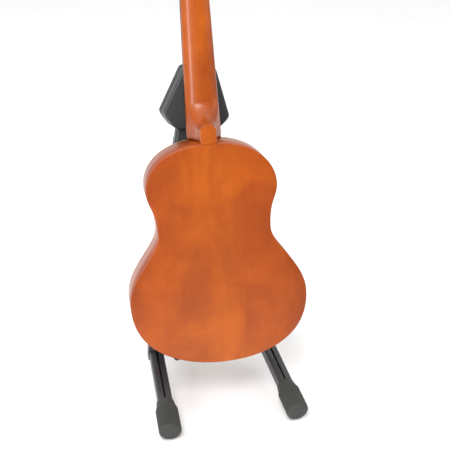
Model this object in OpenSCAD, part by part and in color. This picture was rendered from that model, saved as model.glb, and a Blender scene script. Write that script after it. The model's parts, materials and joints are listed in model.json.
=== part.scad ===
// A small classical guitar with its back to the viewer, resting on a folding stand.
// Millimetres, +Z up, front at -Y. The origin is on the floor under the middle.

/* [Guitar] */
// length of the sound box
body_length = 334; // [320:1:350]
// widest width of the lower bout
lower_width = 265; // [255:1:275]
// width at the waist
waist_width = 167; // [158:1:176]
// widest width of the upper bout
upper_width = 193; // [184:1:200]
// depth from the back to the soundboard
body_depth = 67; // [62:1:70]
// string length from nut to saddle
scale_length = 456; // [446:1:466]
// radius of the sound hole
hole_r = 36; // [32:1:38]

/* [Pose] */
// how far the guitar leans back
lean = 13.9; // [13:0.1:15]
// how far the guitar is turned about its own length
turn = 7; // [0:0.5:7]

/* [Stand] */
// half the distance between the front feet
foot_x = 99; // [97:1:104]
// radius of the ribbed rubber feet
foot_r = 17; // [15:0.5:17.5]
// width of the channel legs
leg_w = 22; // [21:0.5:22]
// radius of the foam on the cradle arms
foam_r = 6; // [5.5:0.5:6]

/* [Hidden] */
$fn = 48;
e = 0.01;

// guitar
plate_t = 2.4;
rib_t = 2;
guitar_y = -65;
guitar_z = 78;
roll = 0.5;
roll_middle = 167;
low_z = 99;
waist_z = 203;
up_z = 268;
low_w = lower_width / 2;
waist_w = waist_width / 2;
up_w = upper_width / 2;
nut_z = body_length + scale_length / 2;
saddle_z = nut_z - scale_length;
hole_z = 222;
board_t = 5;
board_low_z = 262;
board_low_w = 55;
nut_w = 42;
neck_d = 20;
heel_w = 24;
heel_h = 28;
head_tilt = 12;
head_l = 150;
head_t = 17;
head_half = 29;
slot_x = 15;
slot_w = 14;
roller_pitch = 34;
roller_z = 40;
axle_r = 2.5;
fit_gap = 0.06;
worm_drop = 8.8;
worm_x = 34.2;
tuner_y = -head_t / 2;

// stand
hinge_y = 92.6;
hinge_z = 431.8;
pin_x = 14;
pin_r = 4;
knee_drop = 385;
knee_x = 88;
half_angle = atan((knee_x - pin_x) / knee_drop);
leg_h = 20;
upright_h = 18;
wall = 2;
lip_gap = 3;
knee_y = hinge_y - knee_drop * sin(lean);
knee_z = hinge_z - knee_drop * cos(lean);
foot_y = -160;
foot_z = foot_r * cos(15);
foot_len = 60;
rear_x = 74;
rear_y = 151;
rear_r = 13;
rear_top = [24, 97.5, 374];
rear_foot = [rear_x, rear_y, 0];
arm_x = 65;
arm_y = 6;
arm_rod_r = 3.5;
arm_len = 62;
arm_up = 8.65 - foam_r;
pad_t = 2.3;
arm_z = guitar_z + arm_up / cos(lean) - (arm_y - guitar_y) * tan(lean);
front_y = -20;
rear_wall_y = 21;
head_wall = 3.5;

wood = [0.78, 0.38, 0.14];
dark_wood = [0.25, 0.14, 0.09];
pale_wood = [0.86, 0.68, 0.42];
black = [0.12, 0.12, 0.13];
rubber = [0.22, 0.23, 0.22];
steel = [0.7, 0.7, 0.72];

// ---- shared shapes ----

function cubic(a, b, c, d, t) =
    a * pow(1 - t, 3) + 3 * b * t * pow(1 - t, 2) + 3 * c * t * t * (1 - t) + d * pow(t, 3);
function cubic_way(a, b, c, d, t) =
    3 * (b - a) * pow(1 - t, 2) + 6 * (c - b) * t * (1 - t) + 3 * (d - c) * t * t;

// four curves from the bottom of the body up its right side to the top
curves = [
    [[0, 0], [62, 0], [low_w, low_z - 74], [low_w, low_z]],
    [[low_w, low_z], [low_w, low_z + 45], [waist_w, waist_z - 28], [waist_w, waist_z]],
    [[waist_w, waist_z], [waist_w, waist_z + 40], [up_w, up_z - 20], [up_w, up_z]],
    [[up_w, up_z], [up_w, up_z + 32], [68, body_length], [0, body_length]]
];
steps = 10;

// a point on the outline, moved inward by the given inset
function side_point(c, t, inset) =
    let (p = cubic(c[0], c[1], c[2], c[3], t), w = cubic_way(c[0], c[1], c[2], c[3], t))
    p + inset * [-w[1], w[0]] / norm(w);
function side_points(inset) = concat(
    [for (c = curves) for (i = [0 : steps - 1]) side_point(c, i / steps, inset)],
    [side_point(curves[3], 1, inset)]);
function flipped(points) = [for (i = [len(points) - 2 : -1 : 1]) [-points[i][0], points[i][1]]];

// a flat body outline stood up: x across, z up the guitar, thick from y to y + t
module body_slab(inset, y, t) {
    points = side_points(inset);
    translate([0, y + t, 0])
        rotate([90, 0, 0])
        linear_extrude(height = t)
        polygon(concat(points, flipped(points)));
}

// straight round bar between two points
module rod(p, q, r) {
    d = q - p;
    translate(p)
        rotate([0, acos(d[2] / norm(d)), atan2(d[1], d[0])])
        cylinder(h = norm(d), r = r);
}

// place children on the line from p to q, with their z along it and y kept level
module along(p, q) {
    d = q - p;
    flat = sqrt(d[0] * d[0] + d[1] * d[1]);
    translate(p)
        rotate([0, 0, atan2(d[1], d[0]) - 90])
        rotate([-atan2(flat, d[2]), 0, 0])
        children();
}

module rounded_rect(w, h, r) {
    translate([-w / 2 + r, -h / 2]) square([w - 2 * r, h]);
    translate([-w / 2, -h / 2 + r]) square([w, h - 2 * r]);
    for (x = [-w / 2 + r, w / 2 - r]) {
        for (y = [-h / 2 + r, h / 2 - r]) {
            translate([x, y]) circle(r = r);
        }
    }
}

// lipped channel section, open toward +y
module channel_section(w, h) {
    difference() {
        rounded_rect(w, h, 4);
        rounded_rect(w - 2 * wall, h - 2 * wall, 2.2);
        translate([-lip_gap / 2, 0]) square([lip_gap, h]);
    }
}

// bar or hole across, along x
module cross_pin(x, y, z, r, from, to) {
    translate([x + from, y, z]) rotate([0, 90, 0]) cylinder(h = to - from, r = r);
}

// guitar frame: x across, y from the back plate inward, z up the guitar
module on_guitar() {
    translate([0, guitar_y, guitar_z])
        rotate([-lean, 0, 0])
        translate([roll_middle * sin(roll), 0, 0])
        rotate([0, -roll, 0])
        rotate([0, 0, -turn])
        translate([0, -body_depth / 2, 0])
        children();
}

// tilted frame of the guitar's slotted head, origin at the nut on the neck's top plane
module on_peghead() {
    on_guitar() translate([0, body_depth, nut_z + 3]) rotate([head_tilt, 0, 0]) children();
}

// stand head frame: origin between the hinge pins, z up the lean
module on_stand_head() {
    translate([0, hinge_y, hinge_z]) rotate([-lean, 0, 0]) children();
}

// ---- guitar body ----

module back_plate() {
    color(wood) on_guitar() body_slab(0, 0, plate_t);
}

module rib_ring() {
    difference() {
        body_slab(0, plate_t, body_depth - 2 * plate_t);
        body_slab(rib_t, plate_t - 1, body_depth);
    }
}

module rib(side) {
    color(wood) on_guitar() intersection() {
        rib_ring();
        translate([side > 0 ? 0 : -200, -10, -10]) cube([200, 100, 400]);
    }
}

module hole_cylinder(r, y, t) {
    translate([0, y + t, hole_z]) rotate([90, 0, 0]) cylinder(h = t, r = r, $fn = 96);
}

module soundboard() {
    color(pale_wood) on_guitar() difference() {
        body_slab(0, body_depth - plate_t, plate_t);
        hole_cylinder(hole_r, body_depth - 10, 20);
        difference() {
            hole_cylinder(hole_r + 11, body_depth - 0.6, 5);
            hole_cylinder(hole_r + 2, body_depth - 2, 8);
        }
    }
}

module rosette() {
    color(dark_wood) on_guitar() difference() {
        hole_cylinder(hole_r + 11, body_depth - 0.6, 0.6);
        hole_cylinder(hole_r + 2, body_depth - 2, 8);
        translate([-35, body_depth - 2, board_low_z - 0.3]) cube([70, 5, 30]);
    }
}

block_w = 52;
tail_h = 20;
neck_block_h = 34;

module block_space(w, low, high) {
    translate([-w / 2, plate_t, low]) cube([w, body_depth - 2 * plate_t, high - low]);
}

module linings() {
    color(pale_wood) on_guitar() for (y = [plate_t, body_depth - plate_t - 9]) {
        difference() {
            body_slab(rib_t, y, 9);
            body_slab(rib_t + 4.5, y - 1, 11);
            block_space(block_w + 0.4, -5, 40);
            block_space(block_w + 0.4, body_length - 50, body_length + 5);
        }
    }
}

module tail_block() {
    color(pale_wood) on_guitar() intersection() {
        body_slab(rib_t, plate_t, body_depth - 2 * plate_t);
        block_space(block_w, 0, tail_h);
    }
}

module neck_block() {
    color(pale_wood) on_guitar() intersection() {
        body_slab(rib_t, plate_t, body_depth - 2 * plate_t);
        block_space(block_w, body_length - neck_block_h, body_length);
    }
}

// cross bar of the given size, trimmed inside the linings
module cross_bar(y, t, z, h) {
    intersection() {
        body_slab(rib_t + 5, y, t);
        translate([-150, y, z]) cube([300, t, h]);
    }
}

module back_braces() {
    color(pale_wood) on_guitar() for (z = [70, 165, 262]) {
        cross_bar(plate_t, 11, z, 7);
    }
}

module top_braces() {
    y = body_depth - plate_t;
    color(pale_wood) on_guitar() {
        cross_bar(y - 12, 12, 172, 7);
        cross_bar(y - 12, 12, 272, 7);
        for (i = [-2 : 2]) {
            translate([i * 24, y - 6, 40]) rotate([0, i * 4, 0])
                translate([-2.5, 0, 0]) cube([5, 6, 118]);
        }
    }
}

// ---- neck ----

// half-round neck section at height z, flat side at the soundboard plane
module neck_slice(z, w, d) {
    translate([0, body_depth, z]) linear_extrude(height = 0.5) intersection() {
        translate([-w / 2, -d]) square([w, d]);
        union() {
            scaled_round(w / 2, d);
            translate([-w / 2, -d * 0.35]) square([w, d * 0.35]);
        }
    }
}

// half ellipse drawn by formula, bulging toward -y
module scaled_round(a, b) {
    polygon([for (i = [0 : 20]) [a * cos(180 + i * 9), -0.35 * b + 0.65 * b * sin(180 + i * 9)]]);
}

// heel slice at depth y: flat at the body, round toward the neck
module heel_slice(y, w, h) {
    translate([0, y + 0.5, body_length - 3]) rotate([90, 0, 0]) linear_extrude(height = 0.5)
        union() {
            translate([-w / 2, 0]) square([w, h + 3 - w * 0.42]);
            translate([0, h + 3 - w * 0.42])
                polygon([for (i = [0 : 16]) [w / 2 * cos(i * 11.25), w * 0.42 * sin(i * 11.25)]]);
        }
}

heel_rows = [
    [plate_t, heel_w, heel_h], [14, heel_w + 1, heel_h + 0.5], [28, heel_w + 6, heel_h + 3],
    [38, heel_w + 14, heel_h + 9], [47, heel_w + 27, heel_h + 24], [56, heel_w + 30, heel_h + 44]
];

module peghead_plate() {
    difference() {
        translate([-head_half, -head_t, 0]) cube([2 * head_half, head_t, head_l]);
        for (s = [-1, 1]) {
            // stepped shoulders at the nut
            translate([s * (head_half + nut_w / 2 + 2) - head_half, -head_t - 1, -e])
                cube([2 * head_half, head_t + 2, 9]);
            // string slot
            translate([s * slot_x - slot_w / 2, -head_t - 1, 24]) cube([slot_w, head_t + 2, 102]);
            for (i = [0 : 2]) {
                cross_pin(0, tuner_y, roller_z + i * roller_pitch, axle_r + fit_gap,
                    s > 0 ? 3 : -40, s > 0 ? 40 : -3);
            }
        }
        // softly arched top
        translate([-60, -head_t - 1, head_l - 10]) difference() {
            cube([120, head_t + 2, 40]);
            translate([60, -1, -110]) rotate([-90, 0, 0]) cylinder(h = head_t + 4, r = 120, $fn = 120);
        }
    }
}

module neck() {
    color(wood) difference() {
        union() {
            on_guitar() {
                hull() {
                    neck_slice(body_length - 3, 54, neck_d + 1.5);
                    neck_slice(nut_z + 2.5, nut_w, neck_d - 2);
                }
                for (i = [0 : len(heel_rows) - 2]) {
                    hull() {
                        heel_slice(heel_rows[i][0], heel_rows[i][1], heel_rows[i][2]);
                        heel_slice(heel_rows[i + 1][0], heel_rows[i + 1][1], heel_rows[i + 1][2]);
                    }
                }
            }
            on_peghead() peghead_plate();
        }
        on_guitar() body_slab(0, -5, body_depth + 5 + e);
        on_guitar() translate([-40, body_depth, nut_z - 0.1]) cube([80, 20, 3.4]);
    }
}

module heel_cap() {
    color(wood) on_guitar() difference() {
        heel_cap_block();
        body_slab(0, -5, body_depth);
    }
}

module heel_cap_block() {
    translate([0, plate_t, body_length - 3]) rotate([90, 0, 0]) linear_extrude(height = plate_t + 1)
        union() {
            translate([-heel_w / 2, 0]) square([heel_w, heel_h - 7]);
            translate([0, heel_h - 7])
                polygon([for (i = [0 : 16]) [heel_w / 2 * cos(i * 11.25), 10 * sin(i * 11.25)]]);
        }
}

module fingerboard() {
    color(dark_wood) on_guitar() translate([0, body_depth + board_t, 0]) rotate([90, 0, 0])
        linear_extrude(height = board_t)
        polygon([[-board_low_w / 2, board_low_z], [board_low_w / 2, board_low_z],
            [nut_w / 2, nut_z], [-nut_w / 2, nut_z]]);
}

function fret_z(n) = saddle_z + scale_length * pow(2, -n / 12);
function board_w(z) = board_low_w + (nut_w - board_low_w) * (z - board_low_z) / (nut_z - board_low_z);

module frets() {
    color(steel) on_guitar() for (n = [1 : 18]) {
        z = fret_z(n);
        w = board_w(z) - 1;
        translate([-w / 2, body_depth + board_t, z]) intersection() {
            rotate([0, 90, 0]) cylinder(h = w, r = 1.1, $fn = 16);
            translate([0, 0, -2]) cube([w, 3, 4]);
        }
    }
}

module nut() {
    color([0.93, 0.91, 0.84]) on_guitar()
        translate([-nut_w / 2, body_depth, nut_z]) cube([nut_w, board_t + 2.4, 3]);
}

saddle_top = body_depth + 10.2;

module bridge() {
    color(dark_wood) on_guitar() difference() {
        union() {
            translate([-75, body_depth, saddle_z - 15]) cube([150, 3.6, 24]);
            translate([-38, body_depth, saddle_z - 15]) cube([76, 7.6, 24]);
        }
        translate([-34, body_depth + 2, saddle_z - 1.3]) cube([68, 20, 2.6]);
        for (i = [0 : 5]) {
            translate([string_low_x(i), body_depth + 5, saddle_z - 20]) cylinder(h = 14, r = 0.9, $fn = 16);
        }
    }
}

module saddle() {
    color([0.93, 0.91, 0.84]) on_guitar()
        translate([-34, body_depth + 2, saddle_z - 1.3]) cube([68, 8.2, 2.6]);
}

function string_low_x(i) = -26 + i * 10.4;
function string_top_x(i) = -18.5 + i * 7.4;
function string_r(i) = 0.36 + (i < 3 ? 0.06 * (3 - i) : 0.03 * (i - 3));

// end point of string i over its roller, in the peghead frame
function roller_of(i) = i < 3 ? i : 5 - i;
function peg_point(i) = [
    (i < 3 ? -1 : 1) * (slot_x - 3 + 2.4 * roller_of(i)), tuner_y + 5.3 + string_r(i),
    roller_z + roller_of(i) * roller_pitch];
// the same point in the guitar frame
function from_peg(p) = [
    p[0],
    body_depth + p[1] * cos(head_tilt) - p[2] * sin(head_tilt),
    nut_z + 3 + p[1] * sin(head_tilt) + p[2] * cos(head_tilt)];

// part of the line from p to q, leaving out a short start
function past(p, q, gap) = p + gap * (q - p) / norm(q - p);

module strings() {
    color([0.85, 0.83, 0.75]) on_guitar() for (i = [0 : 5]) {
        r = string_r(i);
        tie = [string_low_x(i), body_depth + 7.6 + r, saddle_z - 15];
        low = [string_low_x(i), saddle_top + r + 0.05, saddle_z - 1.3];
        top = [string_top_x(i), body_depth + board_t + 2.45 + r, nut_z + 3];
        rod(tie, past(low, tie, 0.3), r);
        rod(low, top, r);
        rod(past(top, from_peg(peg_point(i)), 0.5), from_peg(peg_point(i)), r);
    }
}

// ---- tuners ----

plate_x = head_half;
plate_screws = [23.5, 57, 91.5, 118];

module tuner_plates() {
    color(steel) on_peghead() for (s = [-1, 1]) mirror([s < 0 ? 1 : 0, 0, 0]) {
        difference() {
            union() {
                translate([plate_x, -head_t + 1, 20]) cube([1.2, head_t - 2, 102]);
                for (i = [0 : 2]) {
                    for (y = [-3.4, -head_t + 1.2]) {
                        translate([plate_x, y, roller_z + i * roller_pitch - worm_drop - 3.5])
                            cube([worm_x - plate_x + 2.8, 1.2, 7]);
                    }
                }
            }
            for (i = [0 : 2]) {
                cross_pin(0, tuner_y, roller_z + i * roller_pitch, axle_r + fit_gap, 20, 40);
                translate([worm_x, -head_t - 5, roller_z + i * roller_pitch - worm_drop])
                    rotate([-90, 0, 0]) cylinder(h = 30, r = 1.5 + fit_gap);
            }
            for (z = plate_screws) {
                cross_pin(0, -12.4, z, 1.25, 20, 40);
            }
        }
    }
}

module tuner_screws() {
    color(steel) on_peghead() for (s = [-1, 1]) mirror([s < 0 ? 1 : 0, 0, 0]) {
        for (z = plate_screws) {
            cross_pin(plate_x + 1.2, -12.4, z, 2.2, 0, 1);
            cross_pin(plate_x, -12.4, z, 1.2, 0, 1.3);
        }
    }
}

// knob: stem and worm through the two ears, flat button behind the peghead
module tuner_knob(side, i) {
    color([0.93, 0.9, 0.82]) on_peghead() mirror([side < 0 ? 1 : 0, 0, 0])
        translate([worm_x, 0, roller_z + i * roller_pitch - worm_drop]) rotate([90, 0, 0]) {
            translate([0, 0, 1.2]) cylinder(h = 21, r = 1.5);
            for (k = [0 : 4]) {
                translate([0, 0, 4.6 + k * 1.9]) cylinder(h = 1, r = 2.7);
            }
            translate([0, 0, 3.9]) cylinder(h = 10.4, r = 2.1);
            translate([0, 0, 17.6]) cylinder(h = 3, r = 2.6);
            translate([0, 0, 20]) difference() {
                union() {
                    translate([-3.6, -6, 2]) cube([7.2, 12, 12]);
                    translate([-3.6, 0, 8]) rotate([0, 90, 0]) cylinder(h = 7.2, r = 7.8);
                    cylinder(h = 4, r = 3.2);
                }
                for (x = [-11.4, 11.4]) {
                    translate([x, 20, 9]) rotate([90, 0, 0]) cylinder(h = 40, r = 9.4);
                }
            }
        }
}

gear_teeth = 14;

module string_roller(side, i) {
    color([0.93, 0.9, 0.82]) on_peghead() mirror([side < 0 ? 1 : 0, 0, 0])
        translate([0, tuner_y, roller_z + i * roller_pitch]) rotate([0, 90, 0]) {
            translate([0, 0, 4]) cylinder(h = 32, r = axle_r);
            translate([0, 0, slot_x - slot_w / 2 + 0.4]) cylinder(h = slot_w - 0.8, r = 4.8);
            translate([0, 0, plate_x + 1.6]) linear_extrude(height = 5)
                polygon([for (k = [0 : 2 * gear_teeth - 1])
                    (k % 2 == 0 ? 5.7 : 4.9) * [cos(k * 180 / gear_teeth), sin(k * 180 / gear_teeth)]]);
            translate([0, 0, plate_x + 6.6]) cylinder(h = 1.2, r = 3.2);
        }
}

// ---- stand head ----

head_points = [[24, 56], [51.5, -15], [47.5, -22], [33, -38], [-33, -38], [-47.5, -22], [-51.5, -15], [-24, 56]];
head_turn = 8;
lock_z = 39;

module head_block(y, t) {
    translate([0, y + t, 0]) rotate([90, 0, 0]) linear_extrude(height = t) rotate(-head_turn) polygon(head_points);
}

// room inside the head for the legs to swing, open at the bottom
module head_room(y, t) {
    translate([0, y + t, 0]) rotate([90, 0, 0]) linear_extrude(height = t)
        polygon([[22, 12.5], [29, 10], [45.5, -15], [40.5, -24], [36, -45], [-36, -45],
            [-40.5, -24], [-45.5, -15], [-29, 10], [-22, 12.5]]);
}

screw_spots = [[-19, 22], [19, 22]];
seam = 0;

module head_front_shell() {
    color(black) on_stand_head() difference() {
        head_block(front_y, seam - front_y);
        head_room(front_y + head_wall, 40);
        for (s = [-1, 1]) {
            translate([s * pin_x, seam, 0]) rotate([90, 0, 0]) cylinder(h = 18.4, r = pin_r);
        }
        for (p = screw_spots) {
            translate([p[0], seam + 1, p[1]]) rotate([90, 0, 0]) cylinder(h = 13, r = 1.6);
        }
    }
}

module head_rear_shell() {
    color(black) on_stand_head() difference() {
        head_block(seam, rear_wall_y - seam);
        head_room(seam - 1, rear_wall_y - head_wall + 1);
        for (s = [-1, 1]) {
            translate([s * pin_x, rear_wall_y - 1.6, 0]) rotate([90, 0, 0]) cylinder(h = 20, r = pin_r);
        }
        for (p = screw_spots) {
            translate([p[0], rear_wall_y + 1, p[1]]) rotate([90, 0, 0]) cylinder(h = 30, r = 1.6);
            translate([p[0], rear_wall_y + 1, p[1]]) rotate([90, 0, 0]) cylinder(h = 4, r = 3.2);
        }
        // well for the lock button and its spring
        translate([0, 10, lock_z]) cylinder(h = 13.5, r = 7.1);
        translate([0, 10, lock_z + 8]) cylinder(h = 20, r = 5.05);
    }
}

module lock_button() {
    color([0.5, 0.5, 0.5]) on_stand_head() translate([0, 10, lock_z]) {
        translate([0, 0, 10.4]) cylinder(h = 3, r = 6.8);
        translate([0, 0, 13]) cylinder(h = 8, r = 5);
        translate([0, 0, 5]) cylinder(h = 6, r = 2.2);
    }
}

module lock_spring() {
    color(steel) on_stand_head() translate([0, 10, lock_z + 0.1])
        for (k = [0 : 4]) {
            translate([0, 0, k * 2.3]) rotate_extrude() translate([4.4, 0.5]) circle(r = 0.5, $fn = 13);
            if (k < 4) rotate([0, 0, k * 60]) translate([4.4, 0, 0.4 + k * 2.3]) cylinder(h = 2.5, r = 0.4, $fn = 13);
        }
}

module head_pad() {
    color(rubber) on_stand_head() translate([0, front_y, 0]) rotate([90, 0, 0])
        linear_extrude(height = pad_t) rotate(-head_turn) polygon([[17, 46], [22, 2], [-22, 2], [-17, 46]]);
}

module head_pins() {
    color(steel) on_stand_head() for (s = [-1, 1]) {
        translate([s * pin_x, rear_wall_y - 1.6, 0]) rotate([90, 0, 0])
            cylinder(h = rear_wall_y - 1.6 - seam + 18.4, r = pin_r);
    }
}

module head_screws() {
    color(steel) on_stand_head() for (p = screw_spots) {
        translate([p[0], rear_wall_y - 3, p[1]]) rotate([90, 0, 0]) cylinder(h = rear_wall_y + 9, r = 1.6);
        translate([p[0], rear_wall_y - 0.8, p[1]]) rotate([90, 0, 0]) cylinder(h = 2.2, r = 3);
    }
}

// ---- one side of the stand, drawn for the right and mirrored for the left ----

// frame on the upright: origin at the hinge pin, z pointing down the leg
module on_upright() {
    on_stand_head() translate([pin_x, 0, 0]) rotate([0, 180 - half_angle, 0]) children();
}

upright_end = 372;
plate_bolts = [64, 84];

// channel open toward the rear
module upright() {
    color(black) difference() {
        on_upright() difference() {
            union() {
                translate([0, 0, 16]) linear_extrude(height = upright_end - 16)
                    channel_section(leg_w, upright_h);
                // hinge eye plugged into the top of the channel
                translate([-leg_w / 2 + wall, -upright_h / 2 + wall, 0])
                    cube([leg_w - 2 * wall, upright_h - 2 * wall, 40]);
                translate([0, 7, 0]) rotate([90, 0, 0]) cylinder(h = 14, r = 9);
            }
            translate([0, 20, 0]) rotate([90, 0, 0]) cylinder(h = 40, r = pin_r + 0.05);
            for (z = plate_bolts) {
                translate([0, 20, z]) rotate([90, 0, 0]) cylinder(h = 40, r = 2);
            }
        }
        brace_pin(brace_start, 2, -12, 12);
    }
}

knee = [knee_x, knee_y, knee_z];
foot = [foot_x, foot_y, foot_z];
leg_way = (foot - knee) / norm(foot - knee);
leg_len = norm(foot - knee);

// front leg frame: z runs from the knee to the foot, y up
module on_front_leg() {
    along(knee, foot) rotate([0, 0, 180]) children();
}

module front_leg() {
    color(black) on_front_leg()
        translate([0, 0, 6]) linear_extrude(height = leg_len - 12) channel_section(leg_w, leg_h);
}

rib_count = 44;

// scalloped outline of a ribbed foot
function ribbed(r) = [for (k = [0 : 3 * rib_count - 1])
    (k % 3 == 2 ? r - 0.9 : r) * [cos(k * 120 / rib_count), sin(k * 120 / rib_count)]];

module front_foot() {
    color(rubber) on_front_leg() translate([0, 0, leg_len - foot_len]) difference() {
        union() {
            cylinder(h = 16, r1 = 12.8, r2 = foot_r - 0.9);
            translate([0, 0, 15]) linear_extrude(height = foot_len - 17) polygon(ribbed(foot_r));
            translate([0, 0, foot_len - 3]) cylinder(h = 3, r1 = foot_r - 0.9, r2 = foot_r - 2.2);
        }
        translate([0, 0, -1]) linear_extrude(height = foot_len - 5) rounded_rect(leg_w, leg_h, 4);
    }
}

rear_len = norm(rear_foot - rear_top);

// rear leg frame: z down the leg, x kept across the stand
module on_rear_leg() {
    d = rear_foot - rear_top;
    translate(rear_top)
        rotate([atan2(-d[1], d[2]), 0, 0])
        rotate([0, asin(d[0] / rear_len), 0])
        children();
}

module rear_leg() {
    color(black) difference() {
        union() {
            on_rear_leg() linear_extrude(height = rear_len - 8) difference() {
                rounded_rect(16, 14, 3);
                rounded_rect(12.8, 10.8, 1.6);
            }
            // welded plate against the back of the upright
            on_upright() translate([-8, upright_h / 2, 54]) cube([16, 3, 40]);
            on_upright() translate([-6, upright_h / 2 + 1, 58]) cube([12, 9, 18]);
        }
        for (z = plate_bolts) {
            on_upright() translate([0, 40, z]) rotate([90, 0, 0]) cylinder(h = 40, r = 2);
        }
        brace_pin(brace_end, 2, -12, 12);
    }
}

// flat bar from the inner side of the upright to the outer side of the rear leg
brace_drop = 300;
brace_z = hinge_z - brace_drop * cos(half_angle) * cos(lean);
brace_start = [
    pin_x + brace_drop * sin(half_angle) - leg_w / 2 - 4.4,
    hinge_y - brace_drop * cos(half_angle) * sin(lean), brace_z];
brace_share = (rear_top[2] - brace_z) / rear_top[2];
brace_end = rear_top + brace_share * (rear_foot - rear_top) + [12, 0, 0];

// pin or hole along x through one end of the brace
module brace_pin(p, r, from, to) {
    translate(p) cross_pin(0, 0, 0, r, from, to);
}

module brace() {
    color(black) difference() {
        along(brace_start, brace_end) translate([-1.5, -7, -8])
            cube([3, 14, norm(brace_end - brace_start) + 16]);
        brace_pin(brace_start, 2, -12, 12);
        brace_pin(brace_end, 2, -12, 12);
    }
}

module rear_foot() {
    color(rubber) difference() {
        on_rear_leg() translate([0, 0, rear_len - 40]) difference() {
            union() {
                cylinder(h = 8, r1 = 10.6, r2 = rear_r);
                translate([0, 0, 8]) cylinder(h = 36, r = rear_r);
            }
            translate([0, 0, -1]) linear_extrude(height = 33) rounded_rect(16, 14, 3);
        }
        translate([-300, -300, -100]) cube([600, 600, 100]);
    }
}

// moulded elbow that holds the upright, the front leg and the cradle pivot
module knee_block() {
    color(black) difference() {
        hull() {
            on_upright() translate([-12.2, -10.4, 350]) cube([24.4, 20.8, 24]);
            on_front_leg() translate([-12.2, -11.2, -3]) cube([24.4, 22.4, 13]);
        }
        on_upright() linear_extrude(height = upright_end) rounded_rect(leg_w, upright_h, 4);
        on_front_leg() translate([0, 0, 6]) linear_extrude(height = 60) rounded_rect(leg_w, leg_h, 4);
        cross_pin(0, arm_y, arm_z, arm_rod_r, 50, arm_x + 20);
    }
}

module bolts() {
    color(steel) {
        for (z = plate_bolts) {
            on_upright() translate([0, upright_h / 2 + 6, z]) rotate([90, 0, 0]) {
                cylinder(h = upright_h + 6.4, r = 2);
                translate([0, 0, upright_h + 6]) cylinder(h = 2, r = 3.6);
            }
        }
        // shoulder bolt of the cradle arm
        cross_pin(0, arm_y, arm_z, arm_rod_r, arm_x - 8, arm_x + 20);
        cross_pin(0, arm_y, arm_z, 6.2, arm_x - 10.4, arm_x - 8);
        cross_pin(0, arm_y, arm_z, 6.2, arm_x + 3.8, arm_x + 5.8);
        brace_pin(brace_start, 2, -3, 8);
        brace_pin(brace_start, 3.6, -4.3, -2.1);
        brace_pin(brace_end, 2, -8, 3);
        brace_pin(brace_end, 3.6, 2.1, 4.3);
    }
}

// cradle arm frame: -y runs forward and up along the arm
module on_arm() {
    translate([arm_x, arm_y, arm_z]) rotate([-lean, 0, 0]) children();
}

module cradle_arm() {
    color(black) on_arm() {
        difference() {
            union() {
                cross_pin(0, 0, 0, 9, -7.6, 3.5);
                rod([0, -6.8, 0], [0, -arm_len, 0], arm_rod_r);
                rod([0, -6.8, 0], [0, -20, 0], 5.5);
            }
            cross_pin(0, 0, 0, arm_rod_r + 0.06, -20, 20);
        }
    }
}

module arm_foam() {
    color(rubber) on_arm() difference() {
        rod([0, -24, 0], [0, -arm_len - 6, 0], foam_r);
        rod([0, -10, 0], [0, -arm_len, 0], arm_rod_r);
    }
}

module right_side(part) {
    if (part == "upright") upright();
    if (part == "front_leg") front_leg();
    if (part == "rear_leg") rear_leg();
    if (part == "front_foot") front_foot();
    if (part == "rear_foot") rear_foot();
    if (part == "knee_block") knee_block();
    if (part == "brace") brace();
    if (part == "bolts") bolts();
    if (part == "cradle_arm") cradle_arm();
    if (part == "foam") arm_foam();
}

module left_side(part) {
    mirror([1, 0, 0]) right_side(part);
}

back_plate();
rib(-1);  // rib_left
rib(1);  // rib_right
soundboard();
rosette();
linings();
top_braces();
back_braces();
neck_block();
tail_block();
neck();
heel_cap();
fingerboard();
frets();
nut();
bridge();
saddle();
strings();
tuner_plates();
tuner_screws();
tuner_knob(-1, 0);  // tuner_knob_1
tuner_knob(-1, 1);  // tuner_knob_2
tuner_knob(-1, 2);  // tuner_knob_3
tuner_knob(1, 2);  // tuner_knob_4
tuner_knob(1, 1);  // tuner_knob_5
tuner_knob(1, 0);  // tuner_knob_6
string_roller(-1, 0);  // string_roller_1
string_roller(-1, 1);  // string_roller_2
string_roller(-1, 2);  // string_roller_3
string_roller(1, 2);  // string_roller_4
string_roller(1, 1);  // string_roller_5
string_roller(1, 0);  // string_roller_6
head_front_shell();
head_rear_shell();
head_pad();
head_pins();
head_screws();
lock_button();
lock_spring();
left_side("upright");  // left_upright
left_side("front_leg");  // left_front_leg
left_side("rear_leg");  // left_rear_leg
left_side("knee_block");  // left_knee_block
left_side("brace");  // left_brace
left_side("bolts");  // left_bolts
left_side("front_foot");  // left_front_foot
left_side("rear_foot");  // left_rear_foot
left_side("cradle_arm");  // left_cradle_arm
left_side("foam");  // left_foam
right_side("upright");  // right_upright
right_side("front_leg");  // right_front_leg
right_side("rear_leg");  // right_rear_leg
right_side("knee_block");  // right_knee_block
right_side("brace");  // right_brace
right_side("bolts");  // right_bolts
right_side("front_foot");  // right_front_foot
right_side("rear_foot");  // right_rear_foot
right_side("cradle_arm");  // right_cradle_arm
right_side("foam");  // right_foam
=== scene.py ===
"""A small classical guitar resting on a folding stand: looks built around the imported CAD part."""

import json
import math

import bmesh
import bpy
import numpy as np
from mathutils import Matrix, Vector
from mathutils.geometry import delaunay_2d_cdt


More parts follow.
